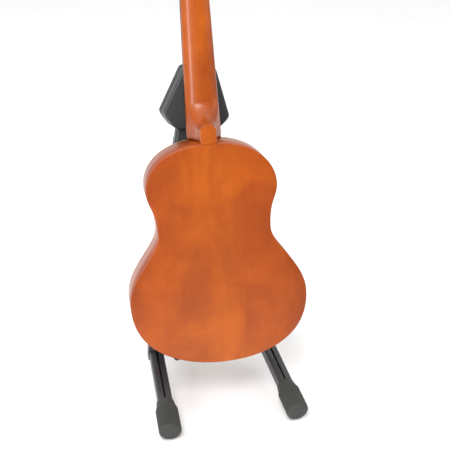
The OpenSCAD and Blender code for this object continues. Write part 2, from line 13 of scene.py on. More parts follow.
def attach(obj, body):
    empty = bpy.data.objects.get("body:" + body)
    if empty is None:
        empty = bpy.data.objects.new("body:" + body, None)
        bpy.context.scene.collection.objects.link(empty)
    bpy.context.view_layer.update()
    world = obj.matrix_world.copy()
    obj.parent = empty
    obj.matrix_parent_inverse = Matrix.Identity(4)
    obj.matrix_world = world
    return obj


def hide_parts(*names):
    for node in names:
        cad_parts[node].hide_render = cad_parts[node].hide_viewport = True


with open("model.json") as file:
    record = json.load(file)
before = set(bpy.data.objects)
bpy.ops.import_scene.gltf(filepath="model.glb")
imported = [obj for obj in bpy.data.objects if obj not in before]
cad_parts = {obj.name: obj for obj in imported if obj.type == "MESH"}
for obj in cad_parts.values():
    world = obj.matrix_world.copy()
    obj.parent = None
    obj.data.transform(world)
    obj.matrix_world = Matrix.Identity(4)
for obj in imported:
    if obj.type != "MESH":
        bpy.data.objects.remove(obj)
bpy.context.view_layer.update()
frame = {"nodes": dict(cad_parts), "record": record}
nodes = frame["nodes"]
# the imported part's own materials would take the names that the slots need
for imported in list(bpy.data.materials):
    bpy.data.materials.remove(imported)
MM = 0.001

# ---------------------------------------------------------------- frames, in millimetres


def moved(x, y, z):
    """A shift in millimetres."""
    return Matrix.Translation((x * MM, y * MM, z * MM))


def turned(axis, degrees):
    return Matrix.Rotation(math.radians(degrees), 4, axis)


def along(p, q):
    """A frame at p whose z axis points at q."""
    d = Vector(q) - Vector(p)
    flat = math.hypot(d.x, d.y)
    spin = math.degrees(math.atan2(d.y, d.x)) - 90
    return moved(*p) @ turned("Z", spin) @ turned("X", -math.degrees(math.atan2(flat, d.z)))


LEAN = 13.9
LEAN_R = math.radians(LEAN)
DEPTH = 67.0
BODY_LENGTH = 334.0
NUT_Z = 562.0
BODY_Y, BODY_Z = -65, 78
PIN_X, KNEE_X, UPRIGHT_LENGTH = 14, 88, 385
HALF_ANGLE = math.degrees(math.atan((KNEE_X - PIN_X) / UPRIGHT_LENGTH))
ROLL = 0.5
ROLL_MIDDLE = 167
GUITAR = (
    moved(0, BODY_Y, BODY_Z)
    @ turned("X", -LEAN)
    @ moved(ROLL_MIDDLE * math.sin(math.radians(ROLL)), 0, 0)
    @ turned("Y", -ROLL)
    @ turned("Z", -7)
    @ moved(0, -DEPTH / 2, 0)
)
PEGHEAD = GUITAR @ moved(0, DEPTH, NUT_Z + 3) @ turned("X", 12)
HINGE = (0, 92.6, 431.8)
STAND_HEAD = moved(*HINGE) @ turned("X", -LEAN)
UPRIGHT = STAND_HEAD @ moved(PIN_X, 0, 0) @ turned("Y", 180 - HALF_ANGLE)
KNEE = (
    KNEE_X,
    HINGE[1] - UPRIGHT_LENGTH * math.sin(LEAN_R),
    HINGE[2] - UPRIGHT_LENGTH * math.cos(LEAN_R),
)
FOOT_RADIUS = 17
FOOT = (99, -160, FOOT_RADIUS * math.cos(math.radians(15)))
FRONT_LEG = along(KNEE, FOOT) @ turned("Z", 180)
LEG_LENGTH = (Vector(FOOT) - Vector(KNEE)).length
ARM_X, ARM_Y, ARM_UP = 65, 6, 2.65
ARM_Z = BODY_Z + ARM_UP / math.cos(LEAN_R) - (ARM_Y - BODY_Y) * math.tan(LEAN_R)
ARM = moved(ARM_X, ARM_Y, ARM_Z) @ turned("X", -LEAN)
FLIP = Matrix.Scale(-1, 4, (1, 0, 0))
SIDES = (("right", Matrix.Identity(4)), ("left", FLIP))

# ---------------------------------------------------------------- materials


def new_material(name):
    material = bpy.data.materials.new(name)
    material.use_nodes = True
    tree = material.node_tree
    tree.nodes.clear()
    output = tree.nodes.new("ShaderNodeOutputMaterial")
    shader = tree.nodes.new("ShaderNodeBsdfPrincipled")
    tree.links.new(shader.outputs[0], output.inputs[0])
    return material, tree, shader


def coordinates(tree, scale, turn=(0, 0, 0)):
    """Object coordinates turned into a part's own frame and scaled."""
    source = tree.nodes.new("ShaderNodeTexCoord")
    straight = tree.nodes.new("ShaderNodeMapping")
    straight.vector_type = "TEXTURE"
    straight.inputs["Rotation"].default_value = turn
    stretch = tree.nodes.new("ShaderNodeMapping")
    stretch.inputs["Scale"].default_value = scale
    tree.links.new(source.outputs["Object"], straight.inputs[0])
    tree.links.new(straight.outputs[0], stretch.inputs[0])
    return stretch.outputs[0]


def noise(tree, vector, scale, detail=4.0, roughness=0.55, distortion=0.0):
    node = tree.nodes.new("ShaderNodeTexNoise")
    node.inputs["Scale"].default_value = scale
    node.inputs["Detail"].default_value = detail
    node.inputs["Roughness"].default_value = roughness
    node.inputs["Distortion"].default_value = distortion
    tree.links.new(vector, node.inputs["Vector"])
    return node.outputs["Fac"]


def ramp(tree, fac, stops):
    node = tree.nodes.new("ShaderNodeValToRGB")
    while len(node.color_ramp.elements) < len(stops):
        node.color_ramp.elements.new(0.5)
    for element, (position, colour) in zip(node.color_ramp.elements, stops):
        element.position = position
        element.color = (*colour, 1)
    tree.links.new(fac, node.inputs[0])
    return node.outputs[0]


def mixed(tree, a, b, fac, mode="MIX"):
    node = tree.nodes.new("ShaderNodeMix")
    node.data_type = "RGBA"
    node.blend_type = mode
    if isinstance(fac, float):
        node.inputs[0].default_value = fac
    else:
        tree.links.new(fac, node.inputs[0])
    tree.links.new(a, node.inputs[6])
    tree.links.new(b, node.inputs[7])
    return node.outputs[2]


def bump(tree, shader, height, strength, distance):
    node = tree.nodes.new("ShaderNodeBump")
    node.inputs["Strength"].default_value = strength
    node.inputs["Distance"].default_value = distance
    tree.links.new(height, node.inputs["Height"])
    tree.links.new(node.outputs[0], shader.inputs["Normal"])


def spread(tree, fac, low, high):
    node = tree.nodes.new("ShaderNodeMapRange")
    node.inputs["To Min"].default_value = low
    node.inputs["To Max"].default_value = high
    tree.links.new(fac, node.inputs["Value"])
    return node.outputs[0]


GUITAR_TURN = tuple(GUITAR.to_euler())


def painted_rim_shade(tree):
    """Painted shade: darker and redder far from the guitar's middle line, standing in for the shade that
    falls on the rim and ribs.
    """
    across = tree.nodes.new("ShaderNodeSeparateXYZ")
    tree.links.new(coordinates(tree, (1, 1, 1), GUITAR_TURN), across.inputs[0])
    distance = tree.nodes.new("ShaderNodeMath")
    distance.operation = "ABSOLUTE"
    tree.links.new(across.outputs[0], distance.inputs[0])
    part = tree.nodes.new("ShaderNodeMapRange")
    part.inputs["From Min"].default_value = 0.02
    part.inputs["From Max"].default_value = 0.135
    tree.links.new(distance.outputs[0], part.inputs["Value"])
    stops = [(0.0, (1, 1, 1)), (0.5, (0.88, 0.76, 0.72)), (1.0, (0.62, 0.48, 0.5))]
    return ramp(tree, part.outputs[0], stops)


def wood(name, dark, light, streak, roughness, coat, clouds, grain=170.0, lines=0.18, rim=0.0):
    """Wood with soft clouds of colour, grain lines along the guitar and painted shade that darkens the rim.
    """
    material, tree, shader = new_material(name)
    soft = noise(tree, coordinates(tree, (1, 1, 0.8), GUITAR_TURN), clouds, 5.0, 0.62, 0.6)
    wide = noise(tree, coordinates(tree, (1, 1, 0.6), GUITAR_TURN), clouds * 0.3, 2.0, 0.5, 0.4)
    fine = noise(tree, coordinates(tree, (1, 1, 0.035), GUITAR_TURN), grain, 5.0, 0.62, 0.4)
    pores = noise(tree, coordinates(tree, (1, 1, 0.09), GUITAR_TURN), grain * 4, 2.0, 0.5)
    stops = [(0.34, dark), (0.68, light)]
    base = mixed(tree, ramp(tree, soft, stops), ramp(tree, wide, stops), 0.45)
    grown = ramp(tree, fine, [(0.38, streak), (0.58, (1, 1, 1))])
    colour = mixed(tree, base, grown, lines, "MULTIPLY")
    # painted shade: darkens and reddens the rim and ribs, scaled by rim
    colour = mixed(tree, colour, painted_rim_shade(tree), rim, "MULTIPLY")
    tree.links.new(colour, shader.inputs["Base Color"])
    tree.links.new(spread(tree, pores, roughness - 0.05, roughness + 0.06), shader.inputs["Roughness"])
    shader.inputs["Coat Weight"].default_value = coat
    shader.inputs["Coat Roughness"].default_value = 0.16
    shader.inputs["Specular IOR Level"].default_value = 0.3
    bump(tree, shader, fine, 0.05, 0.0004)
    return material


def plain(name, dark, light, roughness, grain, depth, metal=0.0):
    """Plastic, rubber or metal with a fine grain."""
    material, tree, shader = new_material(name)
    place = coordinates(tree, (1, 1, 1))
    soft = noise(tree, place, 16.0, 3.0)
    fine = noise(tree, place, grain, 3.0, 0.6)
    stops = [(0.3, dark), (0.7, light)]
    colour = mixed(tree, ramp(tree, soft, stops), ramp(tree, fine, stops), 0.5)
    tree.links.new(colour, shader.inputs["Base Color"])
    tree.links.new(spread(tree, fine, roughness - 0.06, roughness + 0.08), shader.inputs["Roughness"])
    shader.inputs["Metallic"].default_value = metal
    bump(tree, shader, fine, depth, 0.0005)
    return material


# the stained wood gets painted shade at its rim (rim=0.8)
STAIN = wood(
    "stained_wood", (0.25, 0.042, 0.003), (0.47, 0.102, 0.0045), (0.80, 0.66, 0.55), 0.34, 0.14, 16.0, rim=0.8
)
BARE = wood(
    "bare_wood", (0.60, 0.40, 0.20), (0.72, 0.52, 0.29), (0.86, 0.78, 0.66), 0.6, 0.0, 9.0, lines=0.6
)
TOP = wood(
    "soundboard_wood", (0.66, 0.38, 0.13), (0.76, 0.48, 0.19), (0.80, 0.70, 0.55), 0.34, 0.3, 8.0, 420.0, 0.6
)
DARK = wood(
    "dark_wood", (0.040, 0.018, 0.010), (0.075, 0.034, 0.018), (0.6, 0.55, 0.5), 0.42, 0.1, 12.0, 300.0, 0.6
)
BONE = plain("bone", (0.78, 0.74, 0.62), (0.86, 0.83, 0.72), 0.32, 600.0, 0.05)
STRING = plain("string", (0.60, 0.57, 0.48), (0.76, 0.73, 0.64), 0.30, 1500.0, 0.10)
STEEL = plain("steel", (0.52, 0.52, 0.53), (0.68, 0.68, 0.69), 0.30, 900.0, 0.05, 1.0)
CREAM = plain("cream_plastic", (0.74, 0.68, 0.54), (0.84, 0.79, 0.66), 0.25, 240.0, 0.03)
BLACK = plain("black_plastic", (0.020, 0.022, 0.023), (0.032, 0.034, 0.035), 0.44, 1600.0, 0.16)
GREY = plain("grey_plastic", (0.12, 0.12, 0.13), (0.17, 0.17, 0.18), 0.42, 900.0, 0.10)
PAINT = plain("painted_steel", (0.022, 0.024, 0.028), (0.036, 0.038, 0.042), 0.34, 700.0, 0.08)
BOLT = plain("bolt_steel", (0.16, 0.16, 0.17), (0.26, 0.26, 0.27), 0.36, 800.0, 0.05, 1.0)
RUBBER = plain("rubber", (0.022, 0.024, 0.021), (0.038, 0.041, 0.036), 0.62, 1100.0, 0.22)
FOAM = plain("foam", (0.018, 0.018, 0.019), (0.040, 0.040, 0.042), 0.9, 420.0, 0.6)
WOODS = (STAIN, BARE, TOP, DARK)
OTHERS = (BONE, STRING, STEEL, CREAM, BLACK, GREY, PAINT, BOLT, RUBBER, FOAM)
BY_SLOT = {m.name: m for m in WOODS + OTHERS}

# ---------------------------------------------------------------- mesh building


def piece(name, verts, faces, place, material, body, nodes_replaced=(), sharp=38):
    """A mesh from points in millimetres in the given frame, riding on a body."""
    mesh = bpy.data.meshes.new(name)
    mesh.from_pydata([place @ (Vector(v) * MM) for v in verts], [], faces)
    obj = bpy.data.objects.new(name, mesh)
    bpy.context.scene.collection.objects.link(obj)
    return dress(obj, material, body, nodes_replaced, sharp)


def dress(obj, material, body, nodes_replaced=(), sharp=38):
    """Gives a piece its shading, material and body, and hides the CAD nodes that it stands for."""
    mesh = obj.data
    work = bmesh.new()
    work.from_mesh(mesh)
    bmesh.ops.remove_doubles(work, verts=work.verts, dist=1e-6)
    bmesh.ops.recalc_face_normals(work, faces=work.faces)
    for face in work.faces:
        face.smooth = True
    for edge in work.edges:
        if edge.is_manifold and edge.calc_face_angle(0) > math.radians(sharp):
            edge.smooth = False
    work.to_mesh(mesh)
    work.free()
    mesh.materials.clear()
    mesh.materials.append(material)
    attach(obj, body)
    if nodes_replaced:
        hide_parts(*nodes_replaced)
    return obj


def loft(rings, ends=True):
    """Faces between rings of equally many points, closed at both ends if asked."""
    count = len(rings[0])
    verts = [p for ring in rings for p in ring]
    faces = []
    for i in range(len(rings) - 1):
        for j in range(count):
            k = (j + 1) % count
            faces.append((i * count + j, i * count + k, (i + 1) * count + k, (i + 1) * count + j))
    if ends:
        faces.append(tuple(range(count)))
        faces.append(tuple((len(rings) - 1) * count + j for j in range(count)))
    return verts, faces


def bevelled(obj, width, segments=3, angle=30):
    """Rounds the edges of a piece with a bevel modifier."""
    for polygon in obj.data.polygons:
        polygon.use_smooth = True
    sharp = obj.data.attributes.get("sharp_edge")
    if sharp:
        obj.data.attributes.remove(sharp)
    modifier = obj.modifiers.new("edges", "BEVEL")
    modifier.width = width * MM
    modifier.segments = segments
    modifier.limit_method = "ANGLE"
    modifier.angle_limit = math.radians(angle)
    modifier.harden_normals = True
    return obj


def joined(parts):
    """Several vertex and face lists as one."""
    verts, faces = [], []
    for v, f in parts:
        base = len(verts)
        verts += v
        faces += [tuple(i + base for i in face) for face in f]
    return verts, faces


def flat_cap(outline, holes=()):
    """Triangles of a flat outline with holes: points and faces."""
    points, edges = [], []
    for loop in (outline, *holes):
        base = len(points)
        points += [Vector((p[0], p[1])) for p in loop]
        edges += [(base + i, base + (i + 1) % len(loop)) for i in range(len(loop))]
    found = delaunay_2d_cdt(points, edges, [], 1, 1e-7)
    keep = []
    for cell in found[2]:
        centre = sum((found[0][i] for i in cell), Vector((0, 0))) / len(cell)
        if inside(centre, outline) and not any(inside(centre, h) for h in holes):
            keep.append(cell)
    return found[0], keep


def inside(p, loop):
    """Whether a flat point lies within a closed loop."""
    hit = False
    for i in range(len(loop)):
        a, b = loop[i], loop[i - 1]
        if (a[1] > p[1]) != (b[1] > p[1]):
            if p[0] < (b[0] - a[0]) * (p[1] - a[1]) / (b[1] - a[1]) + a[0]:
                hit = not hit
    return hit


def slab(outline, y0, y1, holes=()):
    """An upright slab: outline in x and z, thick from y0 to y1."""
    verts, faces = [], []
    for loop in (outline, *holes):
        base, n = len(verts), len(loop)
        verts += [(p[0], y0, p[1]) for p in loop] + [(p[0], y1, p[1]) for p in loop]
        faces += [(base + i, base + (i + 1) % n, base + n + (i + 1) % n, base + n + i) for i in range(n)]
    for y in (y0, y1):
        points, cells = flat_cap(outline, holes)
        base = len(verts)
        verts += [(p[0], y, p[1]) for p in points]
        faces += [tuple(base + i for i in cell) for cell in cells]
    return verts, faces


def rounded(points, radius, steps=8):
    """A polygon with its corners rounded."""
    out = []
    count = len(points)
    for i in range(count):
        a, b, c = Vector(points[i - 1]), Vector(points[i]), Vector(points[(i + 1) % count])
        r = min(radius, (a - b).length * 0.45, (c - b).length * 0.45)
        p, q = b + (a - b).normalized() * r, b + (c - b).normalized() * r
        for k in range(steps + 1):
            t = k / steps
            out.append(tuple((1 - t) ** 2 * p + 2 * t * (1 - t) * b + t * t * q))
    return out


# ---------------------------------------------------------------- guitar body

LOW, WAIST, UP = 132.5, 83.5, 96.5
HOLE_Z, HOLE_RADIUS = 222.0, 36.0
CURVES = (
    ((0, 0), (62, 0), (LOW, 25), (LOW, 99)),
    ((LOW, 99), (LOW, 144), (WAIST, 175), (WAIST, 203)),
    ((WAIST, 203), (WAIST, 243), (UP, 248), (UP, 268)),
    ((UP, 268), (UP, 300), (68, BODY_LENGTH), (0, BODY_LENGTH)),
)
STEPS = 26


def half_outline(inset):
    """The right half of the body's outline, from the tail to the neck."""
    out = []
    for number, curve in enumerate(CURVES):
        a, b, c, d = (np.array(p, float) for p in curve)
        for i in range(STEPS + (number == 3)):
            t = i / STEPS
            p = a * (1 - t) ** 3 + 3 * b * t * (1 - t) ** 2 + 3 * c * t * t * (1 - t) + d * t**3
            w = 3 * (b - a) * (1 - t) ** 2 + 6 * (c - b) * t * (1 - t) + 3 * (d - c) * t * t
            p = p + inset * np.array([-w[1], w[0]]) / np.linalg.norm(w)
            out.append((float(p[0]), float(p[1])))
    return out


def full_outline(inset):
    half = half_outline(inset)
    return half + [(-x, z) for x, z in half[-2:0:-1]]


def back_plate():
    """The back: softly arched, with a rounded edge."""
    half = half_outline(1.0)
    last = len(half) - 1
    columns = 24
    verts, faces = [], []

    def arch(x, z, width):
        return -1.3 * (1 - (x / max(width, 1e-6)) ** 2) * (1 - ((z - 167) / 167) ** 4)

    rows = []
    for k, (width, z) in enumerate(half):
        if k in (0, last):
            rows.append([len(verts)] * (columns + 1))
            verts.append((0, 0, z))
            continue
        row = []
        for j in range(columns + 1):
            x = width * (2 * j / columns - 1)
            row.append(len(verts))
            verts.append((x, arch(x, z, width), z))
        rows.append(row)
    for k in range(last):
        for j in range(columns):
            quad = (rows[k][j], rows[k][j + 1], rows[k + 1][j + 1], rows[k + 1][j])
            faces.append(tuple(dict.fromkeys(quad)))
    rim = [rows[k][columns] for k in range(last + 1)] + [rows[k][0] for k in range(last - 1, 0, -1)]
    count = len(rim)
    for inset, y in ((0.45, 0.12), (0.12, 0.45), (0.0, 1.0), (0.0, 2.0), (0.3, 2.4)):
        ring = []
        for x, z in full_outline(inset):
            ring.append(len(verts))
            verts.append((x, y, z))
        for j in range(count):
            m = (j + 1) % count
            faces.append((rim[j], rim[m], ring[m], ring[j]))
        rim = ring
    faces.append(tuple(rim))
    return piece("back_plate_smooth", verts, faces, GUITAR, STAIN, "guitar", ["back_plate"], 50)


def rib(side):
    section = ((0.35, 2.4), (0, 2.8), (0, 64.2), (0.35, 64.6), (2, 64.6), (2, 2.4))
    lines = [[(side * x, y, z) for x, z in half_outline(inset)] for inset, y in section]
    rings = [[line[k] for line in lines] for k in range(len(lines[0]))]
    verts, faces = loft(rings)
    name = "right" if side > 0 else "left"
    return piece(f"rib_{name}_smooth", verts, faces, GUITAR, STAIN, "guitar", [f"rib_{name}"], 50)


def soundboard():
    """The top, open at the sound hole."""
    centre = np.array([0, HOLE_Z])
    outer = full_outline(1.0)
    hole = []
    for x, z in outer:
        d = np.array([x, z]) - centre
        hole.append(centre + HOLE_RADIUS * d / np.linalg.norm(d))
    rings = []
    for inset, y in ((0.3, 64.6), (0, 65.0), (0, 66.0), (0.12, 66.6), (0.45, 66.88)):
        rings.append([(x, y, z) for x, z in full_outline(inset)])
    for share in np.linspace(0, 1, 9):
        between = [np.array(p) * (1 - share) + q * share for p, q in zip(outer, hole)]
        rings.append([(x, DEPTH, z) for x, z in between])
    for y in (66.7, 64.6):
        rings.append([(q[0], y, q[1]) for q in hole])
    rings.append(rings[0])
    verts, faces = loft(rings, ends=False)
    return piece("soundboard_smooth", verts, faces, GUITAR, TOP, "guitar", ["soundboard"], 50)


def upright_ring(radius, y, z, count):
    """A circle in x and z."""
    turn = np.linspace(0, 2 * math.pi, count + 1)[:-1]
    return [(radius * math.cos(a), y, z + radius * math.sin(a)) for a in turn]


def rosette():
    """Inlaid rings round the sound hole, dark and pale in turn."""
    made = []
    radii = (38, 39.2, 40.4, 44.6, 45.8, 47)
    base, dark_top, pale_top = 66.5, 67.06, 67.03
    for k, (inner, outer) in enumerate(zip(radii, radii[1:])):
        y = pale_top if k % 2 else dark_top
        section = ((inner, base), (inner, y), (outer, y), (outer, base), (inner, base))
        made.append(loft([upright_ring(r, level, HOLE_Z, 120) for r, level in section], ends=False))
    dark = joined(made[0::2])
    pale = joined(made[1::2])
    piece("rosette_dark", *dark, GUITAR, DARK, "guitar", ["rosette"], 30)
    piece("rosette_pale", *pale, GUITAR, BARE, "guitar", (), 30)


# ---------------------------------------------------------------- neck

# how far from the back, how wide and how high the heel is
HEEL = np.array([
    [2.4, 24, 28],
    [14, 24.6, 28.6],
    [26, 26.5, 30.5],
    [36, 31, 36],
    [44, 38, 47],
    [51, 45, 64],
    [56, 48, 80],
])


def heel_ring(y, width, height, inset=0.0, low=333.4):
    """A flat U: straight sides from the body, round at the top."""
    w, top = width / 2 - inset, BODY_LENGTH + height - inset
    round_h = w * 0.84
    points = [(w, y, low)]
    for a in np.linspace(0, math.pi, 25):
        points.append((w * math.cos(a), y, top - round_h + round_h * math.sin(a)))
    return points + [(-w, y, low)]


def neck_ring(width, depth, place):
    """A section of the neck: flat under the fingerboard, low straight sides, a round back."""
    half, flank, start = width / 2, 0.30, 0.12
    ring = [(half, 0), (half, -flank * depth)]
    for a in np.linspace(start, math.pi - start, 29):
        ring.append((half * math.cos(a), -depth * (flank + (1 - flank) * math.sin(a))))
    ring += [(-half, -flank * depth), (-half, 0)]
    return [tuple((place @ (Vector((x, y, 0)) * MM)) / MM) for x, y in ring]


def neck():
    """Neck and heel grown into one smooth carved piece."""
    to_peg = GUITAR.inverted() @ PEGHEAD
    rings = []
    for t in np.linspace(0, 1, 30):
        rings.append(neck_ring(52.7 - 10.7 * t, 21.5 - 3.5 * t, moved(0, DEPTH, 333.4 + t * 228)))
    for width, depth, z in ((42.5, 17.8, 1.5), (45.5, 17.4, 6), (51, 17, 11)):
        rings.append(neck_ring(width, depth, to_peg @ moved(0, 0, z)))
    parts = [loft(rings)]
    levels = np.linspace(HEEL[0, 0], 57, 26)
    widths, heights = (np.interp(levels, HEEL[:, 0], HEEL[:, k]) for k in (1, 2))
    for values in (widths, heights):
        values[1:-1] = (values[:-2] + 2 * values[1:-1] + values[2:]) / 4
    parts.append(loft([heel_ring(y, w, h) for y, w, h in zip(levels, widths, heights)]))
    verts, faces = joined(parts)
    mesh = bpy.data.meshes.new("neck_rough")
    mesh.from_pydata([Vector(v) * MM for v in verts], [], faces)
    rough = bpy.data.objects.new("neck_rough", mesh)
    bpy.context.scene.collection.objects.link(rough)
    grown = rough.modifiers.new("grow", "REMESH")
    grown.mode = "VOXEL"
    grown.voxel_size = 0.0011
    softened = rough.modifiers.new("soften", "CORRECTIVE_SMOOTH")
    softened.smooth_type = "SIMPLE"
    softened.factor = 0.6
    softened.iterations = 26
    softened.use_only_smooth = True
    final = bpy.data.meshes.new_from_object(rough.evaluated_get(bpy.context.evaluated_depsgraph_get()))
    bpy.data.objects.remove(rough)
    final.transform(GUITAR)
    final.name = "neck_smooth"
    obj = bpy.data.objects.new("neck_smooth", final)
    bpy.context.scene.collection.objects.link(obj)
    return dress(obj, STAIN, "guitar", ["neck"], 60)


def heel_cap():
    """The small plate that covers the heel, with a rounded edge."""
    rings = []
    for y, inset in ((2.4, 0.0), (0.0, 0.0), (-0.55, 0.16), (-0.9, 0.5), (-1.0, 1.0)):
        rings.append(heel_ring(y, 24.0, 28.0, inset, 333.9))
    verts, faces = loft(rings)
    return piece("heel_cap_smooth", verts, faces, GUITAR, STAIN, "guitar", ["heel_cap"], 40)


def peghead():
    """The slotted head, with a low round crown."""
    half, crown_radius, crown_middle, thick = 29, 120, 30, 17
    right = [(25, 2), (25, 8), (half, 11), (half, 60), (half, 100)]
    turn = np.linspace(half, -half, 15)
    crown = [(x, crown_middle + math.sqrt(crown_radius**2 - x * x)) for x in turn]
    outline = right + crown + [(-x, z) for x, z in reversed(right)]
    slot_half, slot_low, slot_high = 7, 24, 126
    holes = []
    for x in (-15, 15):
        x0, x1 = x - slot_half, x + slot_half
        corners = [(x0, slot_low), (x1, slot_low), (x1, slot_high), (x0, slot_high)]
        holes.append(rounded(corners, 3, 5))
    verts, faces = slab(outline, -thick, 0, holes)
    obj = piece("peghead", verts, faces, PEGHEAD, STAIN, "guitar")
    return bevelled(obj, 1.2, 3, 40)


# ---------------------------------------------------------------- stand

HEAD_TURN = turned("Y", 8)


def mirrored(right):
    """An outline from its right half, which runs down from the top."""
    return right + [(-x, z) for x, z in reversed(right)]


def head_turned(points):
    """The head's outline is turned in its own plane, and the room for the uprights isn't."""
    return [tuple((HEAD_TURN @ Vector((x, 0, z))).xz) for x, z in points]


HEAD = head_turned(mirrored([(24, 56), (51.5, -15), (47.5, -22), (33, -38)]))
ROOM = mirrored([(22, 12.5), (29, 10), (45.5, -15), (40.5, -24), (36, -45)])


def inset_loop(loop, inset):
    """A convex outline moved inward."""
    out = []
    n = len(loop)
    for i in range(n):
        a, b, c = (np.array(loop[(i + k) % n], float) for k in (-1, 0, 1))
        d1, d2 = (b - a) / (np.linalg.norm(b - a) + 1e-9), (c - b) / (np.linalg.norm(c - b) + 1e-9)
        normal = np.array([d1[1] + d2[1], -(d1[0] + d2[0])])
        normal /= np.linalg.norm(normal)
        middle = np.array([0.0, -4.0])
        if normal @ (middle - b) < 0:
            normal = -normal
        out.append(tuple(b + normal * inset))
    return out


def shell(name, face_y, seam_y, wall_y):
    """Half of the stand's head: a rounded block, hollow and open at the bottom."""
    way = 1 if seam_y > face_y else -1
    outline = rounded(HEAD, 5.5, 7)
    rings = []
    edge = 3.2
    for k in range(6, -1, -1):
        a = k / 6 * math.pi / 2
        y = face_y + way * edge * (1 - math.sin(a))
        rings.append([(x, y, z) for x, z in inset_loop(outline, edge * (1 - math.cos(a)))])
    for inset, back in ((0.0, 0.5), (0.45, 0.05)):
        rings.append([(x, seam_y - way * back, z) for x, z in inset_loop(outline, inset)])
    verts, faces = loft(rings)
    obj = piece(name, verts, faces, STAND_HEAD, BLACK, "stand_head", [name.replace("_smooth", "")], 45)
    cut_verts, cut_faces = slab(ROOM, wall_y, seam_y + way * 6)
    cut_mesh = bpy.data.meshes.new("cut")
    cut_mesh.from_pydata([STAND_HEAD @ (Vector(v) * MM) for v in cut_verts], [], cut_faces)
    cutter = bpy.data.objects.new("cut", cut_mesh)
    bpy.context.scene.collection.objects.link(cutter)
    clean = bmesh.new()
    clean.from_mesh(cut_mesh)
    bmesh.ops.remove_doubles(clean, verts=clean.verts, dist=1e-6)
    bmesh.ops.recalc_face_normals(clean, faces=clean.faces)
    clean.to_mesh(cut_mesh)
    clean.free()
    cut = obj.modifiers.new("room", "BOOLEAN")
    cut.operation = "DIFFERENCE"
    cut.solver = "EXACT"
    cut.object = cutter
    made = bpy.data.meshes.new_from_object(obj.evaluated_get(bpy.context.evaluated_depsgraph_get()))
    obj.modifiers.clear()
    obj.data = made
    bpy.data.objects.remove(cutter)
    return obj


def head_pad():
    """The rubber pad behind the neck, with a rounded edge."""
    outline = rounded(head_turned(mirrored([(17, 46), (22, 2)])), 4, 6)
    rings = []
    half, middle = 22, 24
    for y, inset in ((-20.0, 0.0), (-21.4, 0.0), (-22.0, 0.35), (-22.3, 1.1)):
        share = 1 - inset / half
        rings.append([(x * share, y, middle + (z - middle) * share) for x, z in outline])
    verts, faces = loft(rings)
    return piece("head_pad_smooth", verts, faces, STAND_HEAD, RUBBER, "stand_head", ["head_pad"], 40)


def channel(width, height, wall=2.0, lip=3.0):
    """A lipped channel section, open toward +y, with rounded corners."""
    w, h = width / 2, height / 2
    outer = [(-lip / 2, h), (-w, h), (-w, -h), (w, -h), (w, h), (lip / 2, h)]
    iw, ih = w - wall, h - wall
    inner = [(lip / 2, ih), (iw, ih), (iw, -ih), (-iw, -ih), (-iw, ih), (-lip / 2, ih)]

    def corners(points, radius):
        out = [points[0]]
        for i in range(1, len(points) - 1):
            a, b, c = (Vector(points[i + k]) for k in (-1, 0, 1))
            p, q = b + (a - b).normalized() * radius, b + (c - b).normalized() * radius
            middle = p + q - b
            start, end = (p - middle), (q - middle)
            for k in range(9):
                t = k / 8 * math.pi / 2
                out.append(tuple(middle + start * math.cos(t) + end * math.sin(t)))
        return out + [points[-1]]

    return corners(outer, 4.0) + corners(inner, 2.2)


def channel_piece(name, section, low, high, place, body, extra, replaced):
    """A length of channel with eased ends, and any extra lumps that belong to it."""
    edge = 0.5
    rings = []
    for z, shrink in ((low, 0.985), (low + edge, 1), (high - edge, 1), (high, 0.985)):
        rings.append([(x * shrink, y * shrink, z) for x, y in section])
    parts = [loft(rings)] + extra
    verts, faces = joined(parts)
    return piece(name, verts, faces, place, PAINT, body, replaced, 35)


def block(x0, x1, y0, y1, z0, z1):
    """A box."""
    verts = [(x, y, z) for x in (x0, x1) for y in (y0, y1) for z in (z0, z1)]
    faces = [(0, 1, 3, 2), (4, 6, 7, 5), (0, 4, 5, 1), (2, 3, 7, 6), (0, 2, 6, 4), (1, 5, 7, 3)]
    return verts, faces


def drum(radius, y0, y1):
    """A short cylinder along y with eased edges."""
    edge = 0.5
    profile = ((y0, radius - edge), (y0 + edge, radius), (y1 - edge, radius), (y1, radius - edge))
    return loft([upright_ring(r, y, 0.0, 40) for y, r in profile])


def ribbed_foot(name, place, body, replaced):
    """A rubber sleeve with fine ribs along it, a cone shoulder and a softly domed end."""
    count, per = 44, 6
    length = 60.0
    # place along the foot, radius and how deep the ribs are
    profile = [(0.0, 12.6, 0), (0.4, 13.1, 0), (6, 14.1, 0), (12, 15.2, 0)]
    profile += [(14.5, 15.9, 0.2), (16.0, 16.4, 0.7), (17.5, 16.6, 1)]
    profile += [(z, 16.6, 1) for z in np.linspace(20, length - 6, 8)]
    profile += [(length - 4.2, 16.5, 0.9), (length - 3.2, 16.2, 0.4), (length - 2.4, 15.7, 0.0)]
    profile += [(length - 1.4, 14.8, 0), (length - 0.8, 13.0, 0), (length - 0.35, 9.0, 0)]
    profile += [(length - 0.08, 4.5, 0), (length, 0.6, 0)]
    rings = []
    for z, r, ribs in profile:
        ring = []
        for i in range(count * per):
            a = 2 * math.pi * i / (count * per)
            wave = 0.4 * (1 - 2 * abs(math.sin(a * count / 2)) ** 3)
            ring.append(((r + ribs * wave) * math.cos(a), (r + ribs * wave) * math.sin(a), z))
        rings.append(ring)
    verts, faces = loft(rings)
    return piece(name, verts, faces, place @ moved(0, 0, LEG_LENGTH - length), RUBBER, body, replaced, 50)


